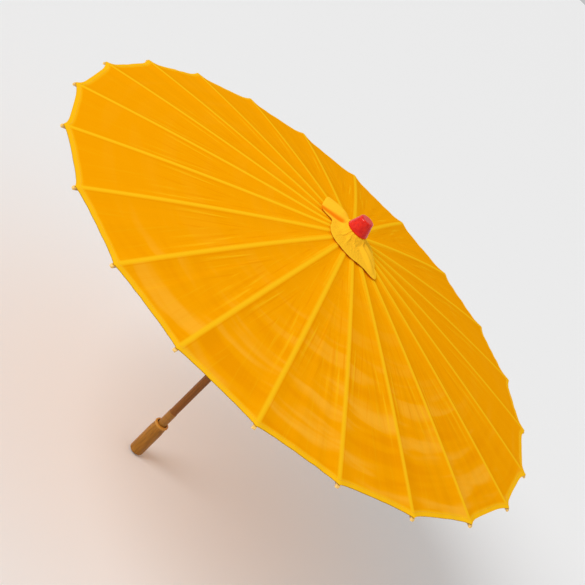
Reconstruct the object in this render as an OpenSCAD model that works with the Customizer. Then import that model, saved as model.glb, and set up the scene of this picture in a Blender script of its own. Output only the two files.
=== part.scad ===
// Chinese parasol with a cloth canopy on split bamboo ribs, shown open.
// The pole stands on +Z, and the origin is the middle of the handle's lower end.

/* [Canopy] */
// Number of ribs, and of stretchers
rib_count = 22; // [20:1:22]
// Distance from the pole's centre to the tips of the ribs
rim_r = 411; // [400:1:420]
// Height of the canopy's rim above the handle's lower end
rim_z = 432.5; // [420:0.5:440]
// Rise of the canopy from its rim to its crown
crown_h = 75; // [70:1:80]
// How far the canopy bulges above a straight cone, half way along a rib
bulge = 4.5; // [2:0.5:6]
// Thickness of the cloth
cloth_t = 0.5; // [0.4:0.1:0.6]
// How far each rib tip stands out past the hem
nub_len = 5; // [3:1:6]

/* [Ribs and stretchers] */
// Depth of a rib, from its top face to its bottom face
rib_depth = 3.5; // [3.2:0.1:3.6]
// Width of a rib along its outer part
rib_w = 4.4; // [4.2:0.1:4.4]
// Width of a rib at the hub
rib_hub_w = 2; // [1.8:0.1:2]
// Distance from the pole's centre to the joint of rib and stretcher
joint_r = 205; // [200:1:206]
// Width of a stretcher
stretcher_w = 2; // [1.8:0.1:2]
// Depth of a stretcher
stretcher_depth = 3.2; // [3:0.1:3.2]

/* [Pole, hub and runner] */
// Diameter of the pole
pole_d = 13; // [12.6:0.1:13]
// Radius of the thread that the ribs turn on, and of the one that the stretchers turn on
thread_r = 12; // [12:0.1:12.4]
// Outer radius of the slotted rings
ring_r = 15.5; // [15:0.1:16]
// Length of the runner
runner_len = 14; // [13:0.5:14]

/* [Handle and cap] */
// Length of the handle
handle_len = 70; // [68:1:72]
// Radius of the straight grip
grip_r = 11.9; // [11.5:0.1:12.2]
// Height of the cap
cap_h = 21; // [20:0.5:22]
// Diameter of the cap's base
cap_base_d = 33; // [31:0.5:35]
// Diameter of the cap's top
cap_top_d = 22; // [20:0.5:23]

/* [Hidden] */
$fn = 64;
round_fn = 48;
thread_fn = 24;
canopy_fn = 128;
eps = 0.01;
// How far a cutting shape runs out past what it cuts
past = 2;
pitch = 360 / rib_count;
pole_r = pole_d / 2;

// Cloth and rib run in a radial plane, where x is the distance from the pole's centre
cloth_gap = 0.3;
hem_r = rim_r - nub_len;
function cloth_z(r) =
    rim_z + crown_h * (1 - r / rim_r) + 4 * bulge * (r / rim_r) * (1 - r / rim_r);
function rib_top(r) = cloth_z(r) - cloth_gap;
function rib_mid(r) = rib_top(r) - rib_depth / 2;

// Pivots: the hub thread, the joint of rib and stretcher, and the runner thread
hub_z = rib_mid(thread_r);
joint_z = rib_mid(joint_r);
runner_z = 2 * joint_z - hub_z;
stretcher_len = norm([joint_r - thread_r, joint_z - runner_z]);
stretcher_tilt = atan2(joint_z - runner_z, joint_r - thread_r);

// Holes and pins at the pivots
tie_r = 0.7;
tie_hole_r = 0.75;
stretcher_hole_r = 0.8;
thread_hole_r = 0.65;
thread_d = 0.9;

// Rib outline: stations along it, and how its width grows from the hub
rib_start_r = thread_r;
rib_steps = 16;
neck_r = 80;
full_w_r = 120;
neck_w = 3.8;
hub_w_len = 8;
slot_w = 2.6;
slot_in = 12;
slot_out = 38;
nub_round = 1.2;

// Slotted rings of the hub and the runner
core_r = 9.8;
ring_slot_w = 2.4;
hub_foot = 6;
hub_neck_h = 6;
hub_cloth_gap = 0.4;
hub_bottom_z = hub_z - hub_foot;
hub_top_z = cloth_z(ring_r) - hub_cloth_gap;
hub_neck_z = hub_bottom_z - hub_neck_h;
runner_play = 0.4;
runner_bore_r = pole_r + runner_play;
runner_top = 4;
runner_ring_h = 10;

// Pole, from the bottom of the handle's bore to the end inside the cap, and the cap's base
cap_lift = 10;
cap_z = rim_z + crown_h + cap_lift;
cap_bore_h = 12.5;
pole_low_z = 22;
pole_high_z = cap_z + cap_bore_h;
shoulder_r = 7;
shoulder_z = 99;
shoulder_slope = 1;
recess_depth = 7;
recess_r = 8.6;
cap_round = 3;
cap_foot_h = 1.5;

// Handle: rounded foot, straight grip, then a taper that ends in a rounded lip.
// The taper's start and end are measured down from the handle's top
foot_round = 3;
taper_start = 18;
taper_end = 6;
taper_in = 1;
lip_round = 2;
grip_top_z = handle_len - taper_start;
taper_top_z = handle_len - taper_end;
lip_low_z = handle_len - 2 * lip_round;

// Pegs across the pole
peg_r = 1;
stop_peg_gap = 0.4;
stop_peg_z = runner_z + runner_top + peg_r + stop_peg_gap;
stop_peg_len = 18;
hub_peg_z = hub_bottom_z - hub_neck_h / 2;
hub_peg_inset = 0.3;
hub_peg_len = 2 * (core_r - hub_peg_inset);

// Catch that holds the runner up: a tongue in a slot of the pole
catch_w = 2.4;
catch_gap = 0.4;
catch_len = 41;
catch_top_z = runner_z + runner_top - runner_len - catch_gap;
catch_pin_z = catch_top_z - catch_len;
catch_pin_x = 2;
catch_pin_r = 0.8;
catch_hole_r = 0.85;
catch_slot_w = 3;
catch_slot_x = -3;
catch_slot_low = 4;
catch_slot_high = 2;
catch_out = 8.7;
catch_in = 5;
catch_head_h = 5;
catch_neck_h = 1;
catch_foot_r = 1.6;
catch_bend_h = 14;
catch_bend_z = catch_pin_z + catch_bend_h;
catch_bend_x = 2.6;
catch_bend_w = 2.6;
catch_pin_len = 11.6;

// Hole for the pole in both cloths, and the steps of the canopy's curve
cloth_hole_gap = 1;
cloth_hole_r = pole_r + cloth_hole_gap;
canopy_steps = 12;

// Cloth under the cap
crown_r = 34;
crown_edge_h = 1;
crown_fold_r = 22;
crown_fold_h = 3;
crown_shoulder_r = 16;
crown_shoulder_drop = 4;
crown_shoulder_z = cap_z - crown_shoulder_drop;
crown_neck_r = 13;
crown_cap_gap = 0.2;
crown_top_z = cap_z - crown_cap_gap;
crown_gap = 0.3;

// Block in the height of the canopy, for shapes that are cut from a plan
block_margin = 20;
block_low_z = rim_z - block_margin;
block_h = crown_h + 2 * block_margin;

RIBS = [for (i = [1 : rib_count]) str("rib_", i < 10 ? "0" : "", i)];
STRETCHERS = [for (i = [1 : rib_count]) str("stretcher_", i < 10 ? "0" : "", i)];

// Turns a drawing in x and y into a plate of width w in the radial plane x and z
module radial_plate(w)
    rotate([90, 0, 0]) linear_extrude(w, center = true) children();

// A straight round bar across the radial plane at x, z
module cross_bar(x, z, r, len)
    translate([x, 0, z]) rotate([90, 0, 0]) cylinder(h = len, r = r, center = true);

// A ring of thread around the pole
module thread_ring(z)
    translate([0, 0, z]) rotate_extrude() translate([thread_r, 0]) circle(d = thread_d, $fn = thread_fn);

// Radial slots for the ends of ribs or stretchers, open at the top and the bottom
module ring_slots(low, high)
    for (i = [0 : rib_count - 1])
        rotate([0, 0, i * pitch])
            translate([core_r, -ring_slot_w / 2, low - past])
                cube([ring_r, ring_slot_w, high - low + 2 * past]);

module rib_side() {
    last_r = rim_r - nub_round;
    stations = [for (i = [0 : rib_steps]) rib_start_r + i * (last_r - rib_start_r) / rib_steps];
    top = [for (r = stations) [r, rib_top(r)]];
    bottom = [for (i = [rib_steps : -1 : 0]) [stations[i], rib_top(stations[i]) - rib_depth]];
    tip = [[rim_r, rib_top(rim_r) - nub_round], [rim_r, rib_top(rim_r) - rib_depth + nub_round]];
    polygon(concat(top, tip, bottom));
    translate([thread_r, hub_z]) circle(d = rib_depth, $fn = round_fn);
}

module rib_plan() {
    half = [[0, rib_hub_w / 2], [thread_r + hub_w_len, rib_hub_w / 2], [neck_r, neck_w / 2],
            [full_w_r, rib_w / 2], [rim_r - nub_round, rib_w / 2], [rim_r + eps, rib_w / 2 - nub_round]];
    mirrored = [for (i = [len(half) - 1 : -1 : 0]) [half[i][0], -half[i][1]]];
    polygon(concat(half, mirrored));
}

module rib(i) color("burlywood") rotate([0, 0, (i - 1) * pitch]) {
    difference() {
        intersection() {
            radial_plate(rib_w + past) rib_side();
            translate([0, 0, block_low_z]) linear_extrude(block_h) rib_plan();
        }
        cross_bar(thread_r, hub_z, thread_hole_r, rib_w + 2 * past);
        cross_bar(joint_r, joint_z, tie_hole_r, rib_w + 2 * past);
        translate([joint_r - slot_in, -slot_w / 2, block_low_z])
            cube([slot_in + slot_out, slot_w, block_h]);
    }
    cross_bar(joint_r, joint_z, tie_r, rib_w);
}

module stretcher(i) color("tan") rotate([0, 0, (i - 1) * pitch]) difference() {
    radial_plate(stretcher_w) translate([thread_r, runner_z]) rotate(stretcher_tilt) {
        translate([0, -stretcher_depth / 2]) square([stretcher_len, stretcher_depth]);
        circle(d = stretcher_depth, $fn = round_fn);
        translate([stretcher_len, 0]) circle(d = stretcher_depth, $fn = round_fn);
    }
    cross_bar(thread_r, runner_z, stretcher_hole_r, stretcher_w + 2 * past);
    cross_bar(joint_r, joint_z, stretcher_hole_r, stretcher_w + 2 * past);
}

module canopy() color("orange") intersection() {
    step = (hem_r + past - cloth_hole_r) / canopy_steps;
    radii = [for (i = [0 : canopy_steps]) cloth_hole_r + i * step];
    rotate_extrude($fn = canopy_fn) polygon(concat(
        [for (r = radii) [r, cloth_z(r)]],
        [for (i = [canopy_steps : -1 : 0]) [radii[i], cloth_z(radii[i]) + cloth_t]]));
    translate([0, 0, block_low_z]) linear_extrude(block_h)
        polygon([for (i = [0 : rib_count - 1]) hem_r * [cos(i * pitch), sin(i * pitch)]]);
}

module crown_cloth() color("gold") rotate_extrude() {
    over = cloth_t + crown_gap;
    polygon([
        [cloth_hole_r, cloth_z(cloth_hole_r) + over], [crown_r, cloth_z(crown_r) + over],
        [crown_r, cloth_z(crown_r) + over + crown_edge_h],
        [crown_fold_r, cloth_z(crown_fold_r) + over + crown_fold_h],
        [crown_shoulder_r, crown_shoulder_z], [crown_neck_r, crown_top_z],
        [cloth_hole_r, crown_top_z]]);
}

module handle() color("peru") rotate_extrude() difference() {
    taper_r = grip_r - taper_in;
    union() {
        translate([0, foot_round]) square([grip_r, grip_top_z - foot_round]);
        square([grip_r - foot_round, 2 * foot_round]);
        translate([grip_r - foot_round, foot_round]) circle(foot_round, $fn = round_fn);
        polygon([[0, grip_top_z], [grip_r, grip_top_z], [taper_r, taper_top_z],
                 [taper_r, lip_low_z + lip_round / 2], [0, lip_low_z + lip_round / 2]]);
        translate([taper_r - lip_round / 2, handle_len - lip_round]) circle(lip_round, $fn = round_fn);
        translate([0, lip_low_z]) square([taper_r - lip_round / 2, handle_len - lip_low_z]);
    }
    translate([-2 * grip_r, -past]) square([2 * grip_r, handle_len + 2 * past]);
    translate([0, pole_low_z]) square([pole_r, handle_len]);
    translate([0, handle_len - recess_depth]) square([recess_r, recess_depth + past]);
}

module pole() color("saddlebrown") difference() {
    rotate_extrude() polygon([
        [0, pole_low_z], [pole_r, pole_low_z], [pole_r, handle_len - recess_depth],
        [shoulder_r, handle_len - recess_depth], [shoulder_r, shoulder_z - shoulder_slope],
        [pole_r, shoulder_z], [pole_r, pole_high_z], [0, pole_high_z]]);
    cross_bar(0, stop_peg_z, peg_r, pole_d + 2 * past);
    cross_bar(0, hub_peg_z, peg_r, pole_d + 2 * past);
    cross_bar(catch_pin_x, catch_pin_z, catch_pin_r, pole_d + 2 * past);
    translate([catch_slot_x, -catch_slot_w / 2, catch_pin_z - catch_slot_low])
        cube([pole_d, catch_slot_w, catch_top_z - catch_pin_z + catch_slot_low + catch_slot_high]);
}

module cap() color("red") rotate_extrude() difference() {
    union() {
        polygon([[0, cap_z], [cap_base_d / 2, cap_z], [cap_base_d / 2, cap_z + cap_foot_h],
                 [cap_top_d / 2, cap_z + cap_h - cap_round], [0, cap_z + cap_h - cap_round]]);
        translate([cap_top_d / 2 - cap_round, cap_z + cap_h - cap_round]) circle(cap_round, $fn = round_fn);
        translate([0, cap_z + cap_h - cap_round]) square([cap_top_d / 2 - cap_round, cap_round]);
    }
    translate([-cap_base_d, cap_z - past]) square([cap_base_d, cap_h + 2 * past]);
    translate([0, cap_z - past]) square([pole_r, pole_high_z - cap_z + past]);
}

module hub() color("sienna") difference() {
    union() {
        translate([0, 0, hub_neck_z]) cylinder(h = hub_top_z - hub_neck_z, r = core_r);
        translate([0, 0, hub_bottom_z]) cylinder(h = hub_top_z - hub_bottom_z, r = ring_r);
    }
    translate([0, 0, hub_neck_z - past]) cylinder(h = hub_top_z - hub_neck_z + 2 * past, r = pole_r);
    ring_slots(hub_bottom_z, hub_top_z);
    thread_ring(hub_z);
    cross_bar(0, hub_peg_z, peg_r, 2 * ring_r + 2 * past);
}

module hub_thread() color("ivory") thread_ring(hub_z);

module hub_peg() color("wheat") cross_bar(0, hub_peg_z, peg_r, hub_peg_len);

module runner() color("sienna") difference() {
    top_z = runner_z + runner_top;
    union() {
        translate([0, 0, top_z - runner_len]) cylinder(h = runner_len, r = core_r);
        translate([0, 0, top_z - runner_ring_h]) cylinder(h = runner_ring_h, r = ring_r);
    }
    translate([0, 0, top_z - runner_len - past]) cylinder(h = runner_len + 2 * past, r = runner_bore_r);
    ring_slots(top_z - runner_ring_h, top_z);
    thread_ring(runner_z);
}

// The thread's lengths inside the walls between the slots
module runner_thread() color("ivory") difference() {
    thread_ring(runner_z);
    ring_slots(runner_z - runner_ring_h, runner_z + runner_top);
}

module stop_peg() color("wheat") cross_bar(0, stop_peg_z, peg_r, stop_peg_len);

module catch() color("silver") difference() {
    union() {
        radial_plate(catch_w) polygon([
            [catch_pin_x - catch_foot_r, catch_pin_z], [catch_pin_x + catch_foot_r, catch_pin_z],
            [catch_bend_x + catch_bend_w, catch_bend_z], [catch_out, catch_top_z - catch_head_h],
            [catch_out, catch_top_z], [catch_in, catch_top_z],
            [catch_in, catch_top_z - catch_head_h - catch_neck_h], [catch_bend_x, catch_bend_z]]);
        cross_bar(catch_pin_x, catch_pin_z, catch_foot_r, catch_w);
    }
    cross_bar(catch_pin_x, catch_pin_z, catch_hole_r, catch_w + past);
}

module catch_pin() color("silver") cross_bar(catch_pin_x, catch_pin_z, catch_pin_r, catch_pin_len);

handle();
pole();
cap();
crown_cloth();
canopy();
hub();
hub_thread();
hub_peg();
runner();
runner_thread();
stop_peg();
catch();
catch_pin();
for (i = [1 : rib_count]) rib(i);
for (i = [1 : rib_count]) stretcher(i);
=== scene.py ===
import math

import bmesh
import bpy
import numpy as np
from mathutils import Matrix, Vector


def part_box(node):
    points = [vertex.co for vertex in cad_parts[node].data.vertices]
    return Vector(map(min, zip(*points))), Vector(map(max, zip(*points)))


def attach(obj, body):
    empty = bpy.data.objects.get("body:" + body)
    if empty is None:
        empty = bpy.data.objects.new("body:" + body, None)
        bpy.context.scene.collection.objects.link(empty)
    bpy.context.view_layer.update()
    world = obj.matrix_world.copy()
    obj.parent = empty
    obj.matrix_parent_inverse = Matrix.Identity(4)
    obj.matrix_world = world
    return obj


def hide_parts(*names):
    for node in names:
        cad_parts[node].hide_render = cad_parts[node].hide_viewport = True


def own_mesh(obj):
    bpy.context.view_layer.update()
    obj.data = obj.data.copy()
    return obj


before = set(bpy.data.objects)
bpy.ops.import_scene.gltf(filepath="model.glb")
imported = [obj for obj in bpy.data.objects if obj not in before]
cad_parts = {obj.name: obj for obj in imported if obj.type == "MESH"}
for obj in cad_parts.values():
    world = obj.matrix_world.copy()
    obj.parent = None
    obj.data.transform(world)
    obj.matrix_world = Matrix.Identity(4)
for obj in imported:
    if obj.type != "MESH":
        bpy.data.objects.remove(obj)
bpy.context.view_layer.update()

# ---- Sizes and places, in metres, from the frame ----
MM = 0.001
RIBS = sorted(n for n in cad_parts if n.startswith("rib_"))
STRETCHERS = sorted(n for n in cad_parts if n.startswith("stretcher_"))
RIB_COUNT = len(RIBS)
PITCH = 2 * math.pi / RIB_COUNT
CLOTH_LOW, CLOTH_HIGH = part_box("canopy")
TIP_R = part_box(RIBS[0])[1][0]
FRAME_HEM_R = CLOTH_HIGH[0]
HEM_INSET = 0.0022
HEM_R = TIP_R - HEM_INSET
CAP_BASE_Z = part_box("cap")[0][2]
POLE_R = 0.0065
HANDLE_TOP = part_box("handle")[1][2]

# ---- Cloth ----
CLOTH_T = 0.0005
BULGE = 0.0045
CLOTH_POLE_GAP = 0.001
CLOTH_IN_R = POLE_R + CLOTH_POLE_GAP
HEM_BAND = 0.0095
HEM_EXTRA = 0.00035
RIDGE = 0.0003
RIB_HALF_W = 0.0024
SCALLOP = 0.0052
SCALLOP_ROUND = 5


def hub_share(r):
    return 1 - r / TIP_R


def bulge_at(r):
    return 4 * BULGE * (r / TIP_R) * hub_share(r)


CROWN_H = (CLOTH_HIGH[2] - CLOTH_T - CLOTH_LOW[2] + bulge_at(FRAME_HEM_R) - bulge_at(CLOTH_IN_R)) / (
    hub_share(CLOTH_IN_R) - hub_share(FRAME_HEM_R))
RIM_Z = CLOTH_LOW[2] - CROWN_H * hub_share(FRAME_HEM_R) - bulge_at(FRAME_HEM_R)


def cloth_z(r):
    """Height of the cloth's underside over a rib, at r from the pole's centre."""
    return RIM_Z + CROWN_H * hub_share(r) + bulge_at(r)


SLOPE = (cloth_z(0.9 * HEM_R) - cloth_z(HEM_R)) / (0.1 * HEM_R)


# ---- Materials ----
def new_material(name):
    material = bpy.data.materials.new(name)
    material.use_nodes = True
    tree = material.node_tree
    shader = tree.nodes["Principled BSDF"]
    return material, tree, shader


def node(tree, kind, inputs=(), **settings):
    made = tree.nodes.new(kind)
    for key, value in settings.items():
        setattr(made, key, value)
    for key, value in dict(inputs).items():
        if isinstance(value, bpy.types.NodeSocket):
            tree.links.new(value, made.inputs[key])
        else:
            made.inputs[key].default_value = value
    return made


def math_node(tree, operation, a, b=0.0):
    return node(tree, "ShaderNodeMath", {0: a, 1: b}, operation=operation).outputs[0]


def times(tree, a, b):
    return math_node(tree, "MULTIPLY", a, b)


def middle_of(tree, value, middle):
    """How far the value is from the middle."""
    return math_node(tree, "ABSOLUTE", math_node(tree, "SUBTRACT", value, middle))


def ramp(tree, factor, stops):
    made = node(tree, "ShaderNodeValToRGB", {0: factor})
    elements = made.color_ramp.elements
    while len(elements) < len(stops):
        elements.new(0.5)
    for element, (place, color) in zip(elements, stops):
        element.position = place
        element.color = (*color, 1)
    return made.outputs[0]


def mix_color(tree, factor, a, b, blend="MIX"):
    made = node(tree, "ShaderNodeMix", data_type="RGBA", blend_type=blend)
    for key, value in ((0, factor), (6, a), (7, b)):
        if isinstance(value, bpy.types.NodeSocket):
            tree.links.new(value, made.inputs[key])
        else:
            made.inputs[key].default_value = value if key == 0 else (*value, 1)
    return made.outputs[2]


def smooth_step(tree, value, low, high, start=0.0, end=1.0):
    made = node(tree, "ShaderNodeMapRange", interpolation_type="SMOOTHSTEP")
    tree.links.new(value, made.inputs["Value"])
    for key, number in (("From Min", low), ("From Max", high), ("To Min", start), ("To Max", end)):
        made.inputs[key].default_value = number
    return made.outputs[0]


def bump(tree, height, strength, distance, normal=None):
    inputs = {"Height": height, "Strength": strength, "Distance": distance}
    if normal is not None:
        inputs["Normal"] = normal
    return node(tree, "ShaderNodeBump", inputs).outputs[0]


def from_pole(tree, x, y):
    """Distance from the pole's centre."""
    return math_node(tree, "SQRT", math_node(tree, "ADD", times(tree, x, x), times(tree, y, y)))


def object_xyz(tree):
    coords = node(tree, "ShaderNodeTexCoord").outputs["Object"]
    parts = node(tree, "ShaderNodeSeparateXYZ", {0: coords}).outputs
    return coords, parts


CLOTH_BASE = (0.95, 0.365, 0.0004)
# painted shade of the cloth: darker satin patches, dark crease lines and a dark line beside each rib band
CLOTH_PAINTED_SHADE = (0.88, 0.300, 0.0001)
# pale hem band, and painted light: lighter crease lines and the light sent back through the cloth over each
# rib
CLOTH_PALE_HEM_AND_PAINTED_LIGHT = (1.0, 0.54, 0.009)
# painted sheen: the lighter satin patches
CLOTH_PAINTED_SHEEN = (1.0, 0.46, 0.026)
# painted light over the whole patch under the cap
CROWN_PAINTED_LIGHT = (1.0, 0.56, 0.026)
# painted shade in the valley beside the tallest fold under the cap
CROWN_PAINTED_SHADE = (0.90, 0.17, 0.0001)
VALLEY_TURN = 174
# Streaks across and along the cloth, and the scale of the broad patches of painted sheen and shade round the
# pole and out from it
STREAK_SCALE = (190, 6, 1)
PATCH_AROUND, PATCH_OUT = 7.0, 40.0
GORE_TURN, GORE_SHIFT = 2.4, 0.9
# The side where the patches of painted sheen and shade are strongest, as shares of +X and -Y
LIT_WAY = (0.5, 0.87)
WEFT_SCALE, WARP_SCALE = 720.0, 900.0


def satin_cloth(name, painted_light_share=0.0):
    """Woven satin. The Cloth map is metres across from the rib and along it, or the plan of the patch under
    the cap, and the Edge map is metres to the hem."""
    material, tree, shader = new_material(name)
    _, (x, y, _) = object_xyz(tree)
    cloth = node(tree, "ShaderNodeUVMap", uv_map="Cloth").outputs[0]
    across, along, _ = node(tree, "ShaderNodeSeparateXYZ", {0: cloth}).outputs
    edge_map = node(tree, "ShaderNodeUVMap", uv_map="Edge").outputs[0]
    to_hem = node(tree, "ShaderNodeSeparateXYZ", {0: edge_map}).outputs[0]
    off_rib = math_node(tree, "ABSOLUTE", across)
    streak_at = node(tree, "ShaderNodeMapping", {"Vector": cloth, "Scale": STREAK_SCALE}).outputs[0]
    streaks = node(tree, "ShaderNodeTexNoise", {"Vector": streak_at, "Scale": 1.0, "Detail": 4.0}).outputs[0]
    # broad patches where the satin catches the light, painted into the colour as lighter painted sheen and
    # darker painted shade, drawn out round the pole and strongest on one side
    gore = math_node(tree, "FLOOR", math_node(tree, "DIVIDE", math_node(tree, "ARCTAN2", y, x), PITCH))
    gore_shift = times(tree, math_node(tree, "SINE", times(tree, gore, GORE_TURN)), GORE_SHIFT)
    outwards = times(tree, from_pole(tree, x, y), PATCH_OUT)
    patch_at = node(tree, "ShaderNodeCombineXYZ", {0: times(tree, x, PATCH_AROUND),
                                                   1: times(tree, y, PATCH_AROUND),
                                                   2: math_node(tree, "ADD", gore_shift, outwards)})
    patches = node(tree, "ShaderNodeTexNoise",
                   {"Vector": patch_at.outputs[0], "Scale": 1.0, "Detail": 2.0, "Distortion": 0.3}).outputs[0]
    lit_side = math_node(tree, "SUBTRACT", times(tree, x, LIT_WAY[0]), times(tree, y, LIT_WAY[1]))
    strength = smooth_step(tree, lit_side, 0.10, 0.32, 0.06, 0.75)
    painted_sheen_patches = times(tree, smooth_step(tree, patches, 0.48, 0.68), strength)
    painted_shade_patches = times(tree, smooth_step(tree, patches, 0.32, 0.5, 0.9, 0.0), strength)
    base = mix_color(tree, painted_shade_patches, CLOTH_BASE, CLOTH_PAINTED_SHADE)
    base = mix_color(tree, painted_sheen_patches, base, CLOTH_PAINTED_SHEEN)
    # thin creases that run with the ribs and fade towards the hem, painted as lighter lines of painted
    # highlight and darker lines of painted shade
    inner = smooth_step(tree, along, 0.22, 0.36, 0.6, 0.15)
    pale = times(tree, smooth_step(tree, streaks, 0.56, 0.68), inner)
    deep = times(tree, smooth_step(tree, streaks, 0.34, 0.44, 1.0, 0.0), inner)
    base = mix_color(tree, pale, base, CLOTH_PALE_HEM_AND_PAINTED_LIGHT)
    base = mix_color(tree, deep, base, CLOTH_PAINTED_SHADE)
    # over each rib the cloth is lighter, partly from the glue under it and partly painted light sent back
    # through the cloth by the bamboo
    band = smooth_step(tree, off_rib, 0.0006, 0.0052, 0.95, 0.0)
    base = mix_color(tree, band, base, CLOTH_PALE_HEM_AND_PAINTED_LIGHT)
    # painted shade: a darker line along one side of each rib band
    beside = times(tree, smooth_step(tree, across, 0.0036, 0.0044),
                   smooth_step(tree, across, 0.0048, 0.0062, 0.5, 0.0))
    base = mix_color(tree, beside, base, CLOTH_PAINTED_SHADE)
    hem = smooth_step(tree, to_hem, HEM_BAND - 0.0045, HEM_BAND + 0.0008, 0.85, 0.0)
    base = mix_color(tree, hem, base, CLOTH_PALE_HEM_AND_PAINTED_LIGHT)
    if painted_light_share:
        # painted light: the whole patch under the cap is made lighter
        base = mix_color(tree, painted_light_share, base, CROWN_PAINTED_LIGHT)
        # painted shade: deeper colour in the valley beside the tallest fold, where the fold shades the cloth
        turn = math.radians(VALLEY_TURN)
        off_valley = middle_of(tree, times(tree, x, math.sin(turn)), times(tree, y, math.cos(turn)))
        valley = times(tree, smooth_step(tree, off_valley, 0.001, 0.006, 0.85, 0.0),
                       smooth_step(tree, x, -0.024, -0.016, 1.0, 0.0))
        base = mix_color(tree, valley, base, CROWN_PAINTED_SHADE)
    tree.links.new(base, shader.inputs["Base Color"])
    weft = node(tree, "ShaderNodeTexWave", {"Vector": cloth, "Scale": WEFT_SCALE, "Distortion": 0.4},
                bands_direction="Y").outputs[1]
    warp = node(tree, "ShaderNodeTexWave", {"Vector": cloth, "Scale": WARP_SCALE, "Distortion": 0.4},
                bands_direction="X").outputs[1]
    weave = math_node(tree, "ADD", weft, times(tree, warp, 0.5))
    fine = bump(tree, weave, 0.2, 0.00003)
    creased = bump(tree, streaks, 0.35, 0.0005, fine)
    tree.links.new(bump(tree, patches, 0.15, 0.001, creased), shader.inputs["Normal"])
    tree.links.new(smooth_step(tree, patches, 0.3, 0.7, 0.56, 0.42), shader.inputs["Roughness"])
    shader.inputs["Sheen Weight"].default_value = 0.08
    shader.inputs["Sheen Roughness"].default_value = 0.3
    shader.inputs["Sheen Tint"].default_value = (1.0, 0.5, 0.02, 1)
    shader.inputs["Specular IOR Level"].default_value = 0.0
    shader.inputs["Specular Tint"].default_value = (1.0, 0.55, 0.05, 1)
    return material


FIBRES_AROUND, FIBRES_OUT = 160.0, 22.0
KNOTS_PER_M = 8.5


def bamboo(name, light, dark, tip=None):
    """Split bamboo that runs out from the pole: fibres along the strip, and joints every so often."""
    material, tree, shader = new_material(name)
    _, (x, y, _) = object_xyz(tree)
    r = from_pole(tree, x, y)
    turn_x = times(tree, math_node(tree, "DIVIDE", x, r), FIBRES_AROUND)
    turn_y = times(tree, math_node(tree, "DIVIDE", y, r), FIBRES_AROUND)
    fibre_at = node(tree, "ShaderNodeCombineXYZ", {0: turn_x, 1: turn_y, 2: times(tree, r, FIBRES_OUT)})
    fibres = node(tree, "ShaderNodeTexNoise",
                  {"Vector": fibre_at.outputs[0], "Scale": 1.0, "Detail": 6.0}).outputs[0]
    which = times(tree, math_node(tree, "ADD", turn_x, turn_y), 0.37)
    step = math_node(tree, "FRACT", math_node(tree, "ADD", times(tree, r, KNOTS_PER_M), which))
    knot = smooth_step(tree, middle_of(tree, step, 0.5), 0.0, 0.02, 1.0, 0.0)
    color = ramp(tree, fibres, [(0.3, dark), (0.7, light)])
    color = mix_color(tree, times(tree, knot, 0.5), color, dark)
    if tip:
        color = mix_color(tree, smooth_step(tree, r, HEM_R - 0.004, HEM_R + 0.001), color, tip)
    tree.links.new(color, shader.inputs["Base Color"])
    shader.inputs["Roughness"].default_value = 0.48
    height = math_node(tree, "ADD", fibres, knot)
    tree.links.new(bump(tree, height, 0.4, 0.0003), shader.inputs["Normal"])
    return material


def turned_wood(name, stops, grain=(420.0, 420.0, 26.0), ring_scale=0.0, coat=0.2, rough=0.38):
    """Wood turned on the pole's axis: stops colour it, and rings of the lathe can mark it."""
    material, tree, shader = new_material(name)
    coords, (_, _, z) = object_xyz(tree)
    grain_at = node(tree, "ShaderNodeMapping", {"Vector": coords, "Scale": grain}).outputs[0]
    fibres = node(tree, "ShaderNodeTexNoise", {"Vector": grain_at, "Scale": 1.0, "Detail": 7.0}).outputs[0]
    color = ramp(tree, fibres, stops)
    height = fibres
    if ring_scale:
        rings = node(tree, "ShaderNodeTexWave", {"Vector": coords, "Scale": ring_scale, "Distortion": 0.6},
                     bands_direction="Z").outputs[1]
        height = math_node(tree, "ADD", fibres, times(tree, rings, 0.6))
    tree.links.new(color, shader.inputs["Base Color"])
    shader.inputs["Roughness"].default_value = rough
    shader.inputs["Specular IOR Level"].default_value = 0.25
    shader.inputs["Coat Weight"].default_value = coat
    shader.inputs["Coat Roughness"].default_value = 0.2
    tree.links.new(bump(tree, height, 0.3, 0.0002), shader.inputs["Normal"])
    return material, tree, shader, color, z


def handle_wood():
    stops = [(0.3, (0.26, 0.098, 0.007)), (0.5, (0.37, 0.150, 0.012)), (0.75, (0.50, 0.210, 0.022))]
    material, tree, shader, color, z = turned_wood("handle wood", stops, ring_scale=260.0, coat=0.04)
    # painted highlight: the lip at the top of the handle is lighter
    lip_painted_highlight = smooth_step(tree, z, HANDLE_TOP - 0.006, HANDLE_TOP - 0.002, 0.0, 0.6)
    tree.links.new(mix_color(tree, lip_painted_highlight, color, (0.80, 0.39, 0.065)), shader.inputs["Base Color"])
    return material


# Where the pole's pale stretch above the handle begins to fade and ends, and the marks on it
PALE_FADE_Z, PALE_END_Z = 0.0975, 0.0992
RINGS_PER_M = 110.0


def pole_bamboo():
    stops = [(0.3, (0.17, 0.052, 0.003)), (0.55, (0.26, 0.086, 0.006)), (0.8, (0.36, 0.130, 0.012))]
    material, tree, shader, color, z = turned_wood(
        "pole bamboo", stops, grain=(700.0, 700.0, 9.0), coat=0.12, rough=0.4)
    light = smooth_step(tree, z, PALE_FADE_Z, PALE_END_Z, 0.75, 0.0)
    color = mix_color(tree, light, color, (0.42, 0.190, 0.030))
    ring_at = math_node(tree, "FRACT", times(tree, z, RINGS_PER_M))
    ring = smooth_step(tree, middle_of(tree, ring_at, 0.5), 0.0, 0.06, 1.0, 0.0)
    ring = times(tree, ring, times(tree, light, 0.6))
    tree.links.new(mix_color(tree, ring, color, (0.16, 0.05, 0.012)), shader.inputs["Base Color"])
    return material


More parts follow.
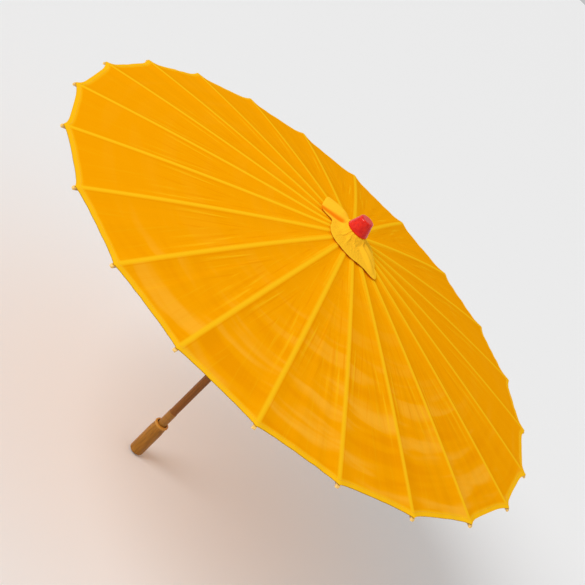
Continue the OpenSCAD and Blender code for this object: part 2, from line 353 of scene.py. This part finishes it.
def red_lacquer():
    material, tree, shader = new_material("red lacquer")
    coords, _ = object_xyz(tree)
    flow = node(tree, "ShaderNodeTexNoise", {"Vector": coords, "Scale": 240.0, "Detail": 3.0}).outputs[0]
    color = ramp(tree, flow, [(0.35, (0.66, 0.010, 0.002)), (0.65, (0.84, 0.020, 0.003))])
    tree.links.new(color, shader.inputs["Base Color"])
    tree.links.new(bump(tree, flow, 0.12, 0.0003), shader.inputs["Normal"])
    shader.inputs["Roughness"].default_value = 0.25
    shader.inputs["Specular IOR Level"].default_value = 0.3
    shader.inputs["Coat Weight"].default_value = 0.12
    shader.inputs["Coat Roughness"].default_value = 0.06
    return material


def spun_thread(name, light, dark):
    material, tree, shader = new_material(name)
    coords, _ = object_xyz(tree)
    ply = node(tree, "ShaderNodeTexWave", {"Vector": coords, "Scale": 900.0, "Distortion": 1.5},
               bands_direction="DIAGONAL").outputs[1]
    tree.links.new(ramp(tree, ply, [(0.2, dark), (0.8, light)]), shader.inputs["Base Color"])
    tree.links.new(bump(tree, ply, 0.5, 0.0001), shader.inputs["Normal"])
    shader.inputs["Roughness"].default_value = 0.7
    return material


def spring_steel():
    material, tree, shader = new_material("spring steel")
    coords, _ = object_xyz(tree)
    brushed_at = node(tree, "ShaderNodeMapping", {"Vector": coords, "Scale": (900, 900, 30)}).outputs[0]
    brushed = node(tree, "ShaderNodeTexNoise", {"Vector": brushed_at, "Scale": 1.0, "Detail": 4.0}).outputs[0]
    tree.links.new(ramp(tree, brushed, [(0.3, (0.40, 0.40, 0.41)), (0.7, (0.62, 0.62, 0.63))]),
                   shader.inputs["Base Color"])
    tree.links.new(smooth_step(tree, brushed, 0.2, 0.8, 0.25, 0.42), shader.inputs["Roughness"])
    tree.links.new(bump(tree, brushed, 0.15, 0.0001), shader.inputs["Normal"])
    shader.inputs["Metallic"].default_value = 1.0
    return material


CLOTH = satin_cloth("satin cloth")
# the patch under the cap: the same satin, with painted light over it
CROWN_CLOTH = satin_cloth("crown satin", painted_light_share=0.8)
HEM_THREAD = spun_thread("hem thread", (1.0, 0.52, 0.05), (0.85, 0.36, 0.01))
THREAD = spun_thread("pivot thread", (0.72, 0.66, 0.52), (0.45, 0.39, 0.28))


# ---- Meshes ----
def linked(name, data):
    """A new object of this data in the scene."""
    made = bpy.data.objects.new(name, data)
    bpy.context.scene.collection.objects.link(made)
    return made


def mesh_piece(name, points, faces, material, uvs=None):
    """A new object at the origin. uvs gives {map: one pair for each point}."""
    mesh = bpy.data.meshes.new(name)
    mesh.from_pydata([tuple(p) for p in points], [], [tuple(f) for f in faces])
    for title, pairs in (uvs or {}).items():
        layer = mesh.uv_layers.new(name=title)
        corner = np.empty(len(mesh.loops), dtype=np.int32)
        mesh.loops.foreach_get("vertex_index", corner)
        layer.data.foreach_set("uv", np.asarray(pairs, float)[corner].ravel())
    mesh.materials.append(material)
    mesh.shade_smooth()
    return linked(name, mesh)


# ---- Canopy: one cloth, simulated whole and then parted in the middle of each gore ----
GORE_COLS = 28
ROWS = 64
SEED = 7
GORE_SAG = 0.0022
SAG_FRAMES = 16
HELD_ROWS = 3
WRINKLE_WAVES = 5


def column_places():
    """How the columns past the rib's edge share half a gore, from that edge to the middle of the gore."""
    return np.linspace(0, 1, GORE_COLS // 2)


def cloth_grid():
    """The taut cloth: rows from the pole to the hem, columns round the pole, each point's way across from
    its rib, and the rows' radii."""
    spread = column_places()
    share = np.linspace(0, 1, ROWS)
    radii = CLOTH_IN_R + (HEM_R - CLOTH_IN_R) * share ** 0.9
    points = np.zeros((ROWS, RIB_COUNT * GORE_COLS, 3))
    across = np.zeros(points.shape[:2])
    for row, r in enumerate(radii):
        gore_half = r * math.sin(PITCH / 2)
        near = min(RIB_HALF_W, 0.3 * gore_half)
        offsets = np.concatenate([[0, near], near + (gore_half - near) * spread[1:]])
        z = cloth_z(r) + CLOTH_T / 2
        for rib in range(RIB_COUNT):
            here = np.array([math.cos(rib * PITCH), math.sin(rib * PITCH)]) * r
            there = np.array([math.cos((rib + 1) * PITCH), math.sin((rib + 1) * PITCH)]) * r
            way = (there - here) / (2 * gore_half)
            for j, offset in enumerate(offsets):
                inwards = 1 - (1 - offset / gore_half) ** SCALLOP_ROUND
                pull = SCALLOP / HEM_R * inwards * (r / HEM_R) ** 3
                for column, start, side in ((j, here, 1), (GORE_COLS - j, there, -1)):
                    index = (rib * GORE_COLS + column) % (RIB_COUNT * GORE_COLS)
                    points[row, index, :2] = (start + way * offset * side) * (1 - pull)
                    points[row, index, 2] = z + pull * r * SLOPE
                    across[row, index] = offset * side
    assert np.hypot(points[..., 0], points[..., 1]).min() > POLE_R
    return points, across, radii


def grid_faces(rows, columns, closed):
    faces = []
    for i in range(rows - 1):
        for j in range(columns if closed else columns - 1):
            k = (j + 1) % columns
            faces.append((i * columns + j, (i + 1) * columns + j, (i + 1) * columns + k, i * columns + k))
    return faces


def open_skin(upper, lower):
    """A closed skin between two grids of points."""
    rows, wide = upper.shape[:2]
    count = rows * wide
    faces = [f[::-1] for f in grid_faces(rows, wide, False)]
    faces += [tuple(i + count for i in f[::-1]) for f in faces[:]]
    rim = (list(range(wide)) + [i * wide + wide - 1 for i in range(1, rows)]
           + [(rows - 1) * wide + j for j in range(wide - 2, -1, -1)]
           + [i * wide for i in range(rows - 2, 0, -1)])
    faces += [(a, a + count, b + count, b) for a, b in zip(rim, rim[1:] + rim[:1])]
    return np.vstack([upper.reshape(-1, 3), lower.reshape(-1, 3)]), faces


def grid_normals(points):
    """Upward normals of the closed grid."""
    along = np.gradient(points, axis=0)
    around = np.roll(points, -1, axis=1) - np.roll(points, 1, axis=1)
    normals = np.cross(along, around)
    normals /= np.linalg.norm(normals, axis=2, keepdims=True) + 1e-12
    return normals * np.where(normals[..., 2:] < 0, -1, 1)


def wrinkles(points, across, radii):
    """Shallow creases that run out from the crown, strongest in the middle of each gore."""
    rng = np.random.default_rng(SEED)
    columns = points.shape[1]
    gore = np.arange(columns) // GORE_COLS
    turn = (np.arange(columns) % GORE_COLS) / GORE_COLS
    height = np.zeros(points.shape[:2])
    for wave in range(WRINKLE_WAVES):
        count = rng.integers(1, 5, RIB_COUNT) + wave
        phase = rng.uniform(0, 2 * math.pi, RIB_COUNT)
        drift = rng.uniform(-3, 3, RIB_COUNT)
        size = rng.uniform(0.1, 0.32, RIB_COUNT) * 0.001 / (1 + 0.5 * wave)
        share = (radii / HEM_R)[:, None]
        angle = 2 * math.pi * count[gore] * turn + phase[gore] + drift[gore] * share
        height += size[gore] * np.sin(angle)
    return height * np.sin(math.pi * turn) ** 2 * np.clip((radii / HEM_R)[:, None] * 1.6, 0, 1)


def simulate(points, faces, held, frames, stiffness, bend, shrink, collide):
    """Lets cloth hang from its held points for some frames, and returns its points."""
    sheet = mesh_piece("cloth_at_work", points, faces, CLOTH)
    group = sheet.vertex_groups.new(name="held")
    group.add([int(i) for i in np.flatnonzero(held)], 1.0, "REPLACE")
    cloth = sheet.modifiers.new("Cloth", "CLOTH")
    settings = cloth.settings
    settings.quality = 6
    settings.mass = 0.08
    settings.vertex_group_mass = "held"
    settings.tension_stiffness = stiffness
    settings.compression_stiffness = stiffness / 5
    settings.shear_stiffness = stiffness / 5
    settings.bending_stiffness = bend
    settings.shrink_min = shrink
    cloth.collision_settings.use_collision = collide
    cloth.collision_settings.distance_min = 0.0004
    cloth.point_cache.frame_start = 1
    cloth.point_cache.frame_end = frames
    scene = bpy.context.scene
    for step in range(1, frames + 1):
        scene.frame_set(step)
    done = sheet.evaluated_get(bpy.context.evaluated_depsgraph_get())
    out = np.array([v.co for v in done.data.vertices])
    scene.frame_set(1)
    bpy.data.objects.remove(sheet)
    return out


def stay_near(points, moved, most):
    """The moved points, each at most this far from where it began."""
    way = moved - points
    size = np.linalg.norm(way, axis=2, keepdims=True)
    return points + way * np.minimum(1, most / np.maximum(size, 1e-9))


def settle(points, across, radii):
    """The cloth's middle surface after it has hung, with no point far from the taut cloth."""
    taut = points.copy()
    points = taut + grid_normals(taut) * wrinkles(taut, across, radii)[..., None]
    on_rib = np.abs(across) <= RIB_HALF_W + 1e-6
    held = on_rib.copy()
    held[:HELD_ROWS] = True
    hung = simulate(points.reshape(-1, 3), grid_faces(*points.shape[:2], True), held.ravel(), SAG_FRAMES,
                    stiffness=30, bend=0.4, shrink=-0.0015, collide=False)
    points = stay_near(points, hung.reshape(points.shape), GORE_SAG)
    return points


def canopy_panels():
    """The cloth parted at the middle of each gore: a closed skin for each rib, thicker over its hem."""
    taut, across, radii = cloth_grid()
    middle = settle(taut, across, radii)
    normals = grid_normals(middle)
    to_hem = (HEM_R - radii)[:, None] + 0 * across
    ridge = RIDGE * np.clip(1 - (np.abs(across) / (RIB_HALF_W + 0.0008)) ** 4, 0, 1)
    hem = HEM_EXTRA * np.clip((HEM_BAND - to_hem) / 0.0005, 0, 1)
    top = middle + normals * (CLOTH_T / 2 + ridge + hem)[..., None]
    under = middle - normals * (CLOTH_T / 2 + hem * (np.abs(across) > RIB_HALF_W + 0.001))[..., None]
    half = GORE_COLS // 2
    total = RIB_COUNT * GORE_COLS
    panels = []
    for k, rib in enumerate(RIBS):
        columns = [(k * GORE_COLS + j) % total for j in range(-half, half + 1)]
        wide = len(columns)
        skin, faces = open_skin(top[:, columns], under[:, columns])
        side = np.array([-1.0 if j < half else 1.0 for j in range(wide)])
        local = np.abs(across[:, columns]) * side
        pairs = np.stack([local.ravel(), np.broadcast_to(radii[:, None], local.shape).ravel()], 1)
        edges = np.stack([to_hem[:, columns].ravel(), to_hem[:, columns].ravel()], 1)
        panel = mesh_piece(f"canopy_{k + 1:02d}", skin, faces, CLOTH,
                           {"Cloth": np.vstack([pairs, pairs]), "Edge": np.vstack([edges, edges])})
        face_outwards(panel)
        outwards = normals[:, columns].reshape(-1, 3)
        smooth_normals(panel, np.vstack([outwards, -outwards]))
        panels.append((panel, rib))
    return panels, top, radii


def face_outwards(piece):
    work = bmesh.new()
    work.from_mesh(piece.data)
    bmesh.ops.recalc_face_normals(work, faces=work.faces)
    work.to_mesh(piece.data)
    work.free()


def smooth_normals(piece, normals):
    """Shades across a parting as if the cloth went on."""
    mesh = piece.data
    mesh.normals_split_custom_set_from_vertices([tuple(n) for n in normals])


def narrow(piece):
    """The piece gets its own copy of its mesh."""
    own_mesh(piece)


def fold_with(piece, rib):
    """The piece goes with its rib, and gets its own copy of its mesh."""
    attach(piece, rib)
    narrow(piece)


PANELS, CLOTH_TOP, CLOTH_RADII = canopy_panels()
for K, (PANEL, RIB) in enumerate(PANELS):
    fold_with(PANEL, RIB)
    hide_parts("canopy")


# ---- Cloth gathered under the cap ----
# Turn from +X in degrees, and how far the patch reaches there in millimetres
CROWN_OUTLINE = [(-33, 75), (-20, 58), (2, 45), (30, 40), (60, 38), (100, 40), (132, 52), (150, 70),
                 (164, 64), (176, 58), (190, 40), (204, 38), (226, 43), (247, 49), (266, 52), (290, 56),
                 (311, 61)]
# Turn, height in millimetres, sharpness, and share of the height at the edge, of each fold out from the cap
CROWN_FOLDS = [(-33, 8, 60, 0.15), (-10, 8, 40, 0.4), (-64, 3, 110, 0.2), (-90, 4, 110, 0.3),
               (-113, 3, 130, 0.2), (-134, 2, 120, 0.2), (60, 3, 20, 0.2), (110, 3, 25, 0.2),
               (150, 16, 14, 0.8), (186, 2, 90, 0.2), (205, 2.5, 90, 0.2)]
CROWN_NECK_R = 0.0135
CROWN_TURNS = 12 * RIB_COUNT
CROWN_ROWS = 34
CROWN_T = 0.0004
NECK_ROWS = 11
CROWN_SINK = 0.0028
CROWN_HEM_SHIFT = 0.004
CROWN_MAP_SHIFT = 0.02
# The neck's spread, its gap under the cap, and the gathers round it
NECK_SPREAD = 0.009
NECK_CAP_GAP = 0.0002
NECK_HELD_ROWS = 5
GATHERS, GATHER_OUT, GATHER_UP = 19, 0.0008, 0.0004
# Clearance of the patch over the canopy, before and after it settles
CROWN_START_GAP, CROWN_LEAST_GAP = 0.0009, 0.0005
# The bed that it settles on: inner and outer radius, rows and turns
BED_IN_R, BED_OUT_R, BED_ROWS, BED_TURNS = 0.0075, 0.095, 24, 88
BED_SKIN = 0.0004


def over_canopy(r):
    """Height of the canopy's upper face over a rib."""
    return cloth_z(r) + CLOTH_T + RIDGE


def crown_reach(degrees):
    """How far the patch under the cap reaches at each turn, in metres."""
    return round_curve(CROWN_OUTLINE, degrees) * MM


def round_curve(pairs, turns):
    """A smooth closed curve through (degrees, value) pairs, read at each of the turns."""
    pairs = sorted((degrees % 360, value) for degrees, value in pairs)
    around = [(d - 360, v) for d, v in pairs] + pairs + [(d + 360, v) for d, v in pairs]
    degrees = np.array([d for d, _ in around], float)
    values = np.array([v for _, v in around], float)
    slopes = np.gradient(values, degrees)
    place = np.searchsorted(degrees, turns, side="right") - 1
    width = degrees[place + 1] - degrees[place]
    t = (turns - degrees[place]) / width
    start, end = values[place], values[place + 1]
    return (start * (2 * t ** 3 - 3 * t ** 2 + 1) + end * (3 * t ** 2 - 2 * t ** 3)
            + width * (slopes[place] * (t ** 3 - 2 * t ** 2 + t) + slopes[place + 1] * (t ** 3 - t ** 2)))


def crown_shape():
    """The pinched patch before it settles: a neck under the cap that opens into folds over the canopy."""
    degrees = np.arange(CROWN_TURNS) * 360 / CROWN_TURNS
    turn = np.radians(degrees)
    reach = crown_reach(degrees)
    share = np.linspace(0, 1, CROWN_ROWS)[:, None]
    lifted = np.zeros((CROWN_ROWS, CROWN_TURNS))
    for place, height, sharp, at_edge in CROWN_FOLDS:
        across = np.exp(sharp * (np.cos(turn - math.radians(place)) - 1))
        arch = np.sin(math.pi * share)
        lifted += MM * height * across * np.where(share < 0.5, arch, at_edge + (1 - at_edge) * arch)
    r = CROWN_NECK_R + (reach - CROWN_NECK_R) * share ** 1.15
    neck = np.exp(-(((r - CROWN_NECK_R) / NECK_SPREAD) ** 1.5))
    gathers = np.sin(GATHERS * turn + 2 * np.sin(3 * turn)) * neck * np.minimum(1, 6 * share)
    rest = over_canopy(r) + CROWN_START_GAP
    rise = (CAP_BASE_Z - NECK_CAP_GAP - rest) * neck
    r = r + GATHER_OUT * gathers
    height = rest + rise + lifted * (1 - 0.6 * neck) + GATHER_UP * gathers
    return np.stack([r * np.cos(turn), r * np.sin(turn), height], 2)


def settle_crown(points, frames=14):
    """Lets the patch sink onto the canopy, held at its neck, and keeps each point near where it began."""
    rows, columns = points.shape[:2]
    ring = np.linspace(BED_IN_R, BED_OUT_R, BED_ROWS)
    around = np.radians(np.arange(BED_TURNS) * 360 / BED_TURNS)
    under = np.stack([ring[:, None] * np.cos(around), ring[:, None] * np.sin(around),
                      over_canopy(ring)[:, None] + 0 * around], 2)
    bed = mesh_piece("bed_at_work", under.reshape(-1, 3), grid_faces(BED_ROWS, BED_TURNS, True), CLOTH)
    bed.modifiers.new("Collision", "COLLISION")
    bed.collision.thickness_outer = BED_SKIN
    held = np.zeros((rows, columns), bool)
    held[:NECK_HELD_ROWS] = True
    sunk = simulate(points.reshape(-1, 3), grid_faces(rows, columns, True), held.ravel(), frames,
                    stiffness=22, bend=1.2, shrink=0.0, collide=True)
    bpy.data.objects.remove(bed)
    out = stay_near(points, sunk.reshape(points.shape), CROWN_SINK)
    floor_z = over_canopy(np.hypot(out[..., 0], out[..., 1])) + CROWN_LEAST_GAP
    out[..., 2] = np.maximum(out[..., 2], floor_z)
    return out


def shell(under, over):
    """A closed skin between two grids that run all the way round: the lower points first."""
    rows, columns = under.shape[:2]
    count = rows * columns
    faces = grid_faces(rows, columns, True)
    faces += [tuple(i + count for i in f[::-1]) for f in faces[:]]
    for edge in (0, rows - 1):
        for j in range(columns):
            a, b = edge * columns + j, edge * columns + (j + 1) % columns
            faces.append((a, b, b + count, a + count))
    return np.vstack([under.reshape(-1, 3), over.reshape(-1, 3)]), faces


def crown_piece(name, skin, faces, normals, body):
    r = np.hypot(skin[:, 0], skin[:, 1])
    reach = crown_reach(np.degrees(np.arctan2(skin[:, 1], skin[:, 0])) % 360)
    edge = np.maximum(reach - r, 0) + CROWN_HEM_SHIFT
    piece = mesh_piece(name, skin, faces, CROWN_CLOTH, {
        "Cloth": np.stack([CROWN_MAP_SHIFT + skin[:, 0], skin[:, 1]], 1), "Edge": np.stack([edge, edge], 1)})
    face_outwards(piece)
    smooth_normals(piece, np.vstack([normals, -normals]))
    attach(piece, body)
    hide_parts("crown_cloth")
    return piece


def crown_cloth():
    """The patch's neck stays on the pole, and its skirt is parted between the ribs, which carry it down."""
    under = settle_crown(crown_shape())
    normals = grid_normals(under)
    over = under + normals * CROWN_T
    skin, faces = shell(under[:NECK_ROWS + 1], over[:NECK_ROWS + 1])
    neck = crown_piece("crown_neck", skin, faces, -normals[:NECK_ROWS + 1].reshape(-1, 3), "root")
    wide = CROWN_TURNS // RIB_COUNT
    for k, rib in enumerate(RIBS):
        columns = [(k * wide + j) % CROWN_TURNS for j in range(-wide // 2, wide // 2 + 1)]
        skin, faces = open_skin(over[NECK_ROWS:, columns], under[NECK_ROWS:, columns])
        outwards = normals[NECK_ROWS:, columns].reshape(-1, 3)
        piece = crown_piece(f"crown_skirt_{k + 1:02d}", skin, faces, outwards, rib)
        narrow(piece)


crown_cloth()


# ---- Hem stitches ----
def stitch_tree():
    """Stitches along a guide line: a small rounded bar every so often."""
    tree = bpy.data.node_groups.new("hem stitches", "GeometryNodeTree")
    face = tree.interface
    face.new_socket("Guide", in_out="INPUT", socket_type="NodeSocketGeometry")
    for name, value in (("Pitch", 0.0028), ("Length", 0.0019), ("Thickness", 0.00022)):
        face.new_socket(name, in_out="INPUT", socket_type="NodeSocketFloat").default_value = value
    face.new_socket("Stitches", in_out="OUTPUT", socket_type="NodeSocketGeometry")
    start, end = tree.nodes.new("NodeGroupInput"), tree.nodes.new("NodeGroupOutput")
    curve = node(tree, "GeometryNodeMeshToCurve", {0: start.outputs["Guide"]}).outputs[0]
    along = node(tree, "GeometryNodeResampleCurve", mode="LENGTH")
    tree.links.new(curve, along.inputs["Curve"])
    tree.links.new(start.outputs["Pitch"], along.inputs["Length"])
    bar = node(tree, "GeometryNodeMeshUVSphere", {"Segments": 8, "Rings": 6}).outputs[0]
    size = node(tree, "ShaderNodeCombineXYZ").outputs[0]
    joiner = size.node
    tree.links.new(start.outputs["Thickness"], joiner.inputs[0])
    tree.links.new(start.outputs["Thickness"], joiner.inputs[1])
    half = node(tree, "ShaderNodeMath", operation="MULTIPLY")
    tree.links.new(start.outputs["Length"], half.inputs[0])
    half.inputs[1].default_value = 0.5
    tree.links.new(half.outputs[0], joiner.inputs[2])
    tangent = node(tree, "GeometryNodeInputTangent").outputs[0]
    aim = node(tree, "FunctionNodeAlignEulerToVector", axis="Z")
    tree.links.new(tangent, aim.inputs["Vector"])
    placed = node(tree, "GeometryNodeInstanceOnPoints")
    tree.links.new(along.outputs[0], placed.inputs["Points"])
    tree.links.new(bar, placed.inputs["Instance"])
    tree.links.new(aim.outputs[0], placed.inputs["Rotation"])
    tree.links.new(size, placed.inputs["Scale"])
    real = node(tree, "GeometryNodeRealizeInstances", {0: placed.outputs[0]}).outputs[0]
    dressed = node(tree, "GeometryNodeSetMaterial", {"Geometry": real, "Material": HEM_THREAD}).outputs[0]
    tree.links.new(dressed, end.inputs[0])
    return tree


STITCH_TREE = stitch_tree()


def stitches(name, line):
    """A plain mesh of stitches along a line of points."""
    guide = mesh_piece(name + "_guide", line, [], HEM_THREAD)
    work = bmesh.new()
    work.from_mesh(guide.data)
    work.verts.ensure_lookup_table()
    for a, b in zip(work.verts[:-1], work.verts[1:]):
        work.edges.new((a, b))
    work.to_mesh(guide.data)
    work.free()
    modifier = guide.modifiers.new("Stitches", "NODES")
    modifier.node_group = STITCH_TREE
    done = guide.evaluated_get(bpy.context.evaluated_depsgraph_get())
    mesh = bpy.data.meshes.new_from_object(done)
    mesh.name = name
    mesh.shade_smooth()
    bpy.data.objects.remove(guide)
    return linked(name, mesh)


STITCH_IN = 0.0085
STITCH_LIFT = 0.00012
STITCH_ROW = int(np.argmin(np.abs(HEM_R - CLOTH_RADII - STITCH_IN)))
for K, RIB in enumerate(RIBS):
    PLACES = range(K * GORE_COLS - GORE_COLS // 2, K * GORE_COLS + GORE_COLS // 2 + 1)
    COLUMNS = [place % (RIB_COUNT * GORE_COLS) for place in PLACES]
    LINE = CLOTH_TOP[STITCH_ROW, COLUMNS] + np.array([0, 0, STITCH_LIFT])
    ROW = stitches(f"hem_stitches_{K + 1:02d}", LINE)
    fold_with(ROW, RIB)

# ---- Finishes of the CAD pieces ----
RIB_BAMBOO = bamboo("rib bamboo", (0.62, 0.40, 0.17), (0.40, 0.22, 0.08), tip=(0.98, 0.60, 0.15))
STRETCHER_BAMBOO = bamboo("stretcher bamboo", (0.66, 0.44, 0.20), (0.42, 0.25, 0.09))
RING_WOOD = turned_wood("ring wood", [(0.3, (0.24, 0.11, 0.04)), (0.7, (0.42, 0.22, 0.09))])[0]
PEG_WOOD = turned_wood("peg wood", [(0.3, (0.46, 0.30, 0.14)), (0.7, (0.66, 0.47, 0.25))],
                       coat=0.0, rough=0.55)[0]
STEEL = spring_steel()
FINISHES = {"handle": handle_wood(), "pole": pole_bamboo(), "cap": red_lacquer(), "hub": RING_WOOD,
            "runner": RING_WOOD, "hub_thread": THREAD, "runner_thread": THREAD, "hub_peg": PEG_WOOD,
            "stop_peg": PEG_WOOD, "catch": STEEL, "catch_pin": STEEL}
FINISHES.update({rib: RIB_BAMBOO for rib in RIBS})
FINISHES.update({stretcher: STRETCHER_BAMBOO for stretcher in STRETCHERS})
for NAME, FINISH in FINISHES.items():
    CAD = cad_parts[NAME]
    if not CAD.material_slots:
        CAD.data.materials.append(FINISH)
    for SLOT in CAD.material_slots:
        SLOT.material = FINISH


# ---- Floor, light and camera ----
FLOOR_HALF, FLOOR_Z = 12.0, -0.002
WORLD_LIGHT = 0.52
# Each sun's name, the way towards it, its spread in degrees and its power
SUNS = (("key", (-1.0, -0.62, 1.0), 34, 1.75), ("fill", (0.9, 0.7, 1.3), 80, 0.2))
CAMERA_AIM, CAMERA_DISTANCE = (-0.0027, -0.020, 0.392), 1.49
# Azimuth, elevation and roll in degrees, then sensor and lens in millimetres
CAMERA_TURN = (-1.7, 25.3, 45.26)
SENSOR, LENS = 36, 66.1


def studio():
    bpy.context.scene.view_settings.view_transform = "Standard"
    floor, tree, shader = new_material("pale floor")
    shader.inputs["Base Color"].default_value = (0.9, 0.9, 0.9, 1)
    shader.inputs["Roughness"].default_value = 0.9
    corners = [(FLOOR_HALF * x, FLOOR_HALF * y, FLOOR_Z) for x, y in ((-1, -1), (1, -1), (1, 1), (-1, 1))]
    plane = mesh_piece("floor", corners, [(0, 1, 2, 3)], floor)
    world = bpy.data.worlds.new("studio")
    world.use_nodes = True
    world.node_tree.nodes["Background"].inputs[0].default_value = (1, 1, 1, 1)
    world.node_tree.nodes["Background"].inputs[1].default_value = WORLD_LIGHT
    bpy.context.scene.world = world
    for name, way, spread, power in SUNS:
        light = bpy.data.lights.new(name, "SUN")
        light.angle = math.radians(spread)
        light.energy = power
        made = linked(name, light)
        made.location = Vector(way) * 2
        made.rotation_euler = Vector(way).to_track_quat("Z", "Y").to_euler()


def camera():
    azimuth, elevation, roll = map(math.radians, CAMERA_TURN)
    back = Vector((math.sin(azimuth) * math.cos(elevation), -math.cos(azimuth) * math.cos(elevation),
                   math.sin(elevation)))
    data = bpy.data.cameras.new("camera")
    data.sensor_width = SENSOR
    data.lens = LENS
    made = linked("camera", data)
    turn = back.to_track_quat("Z", "Y").to_matrix() @ Matrix.Rotation(roll, 3, "Z")
    made.matrix_world = Matrix.Translation(Vector(CAMERA_AIM) + back * CAMERA_DISTANCE) @ turn.to_4x4()
    bpy.context.scene.camera = made


studio()
camera()
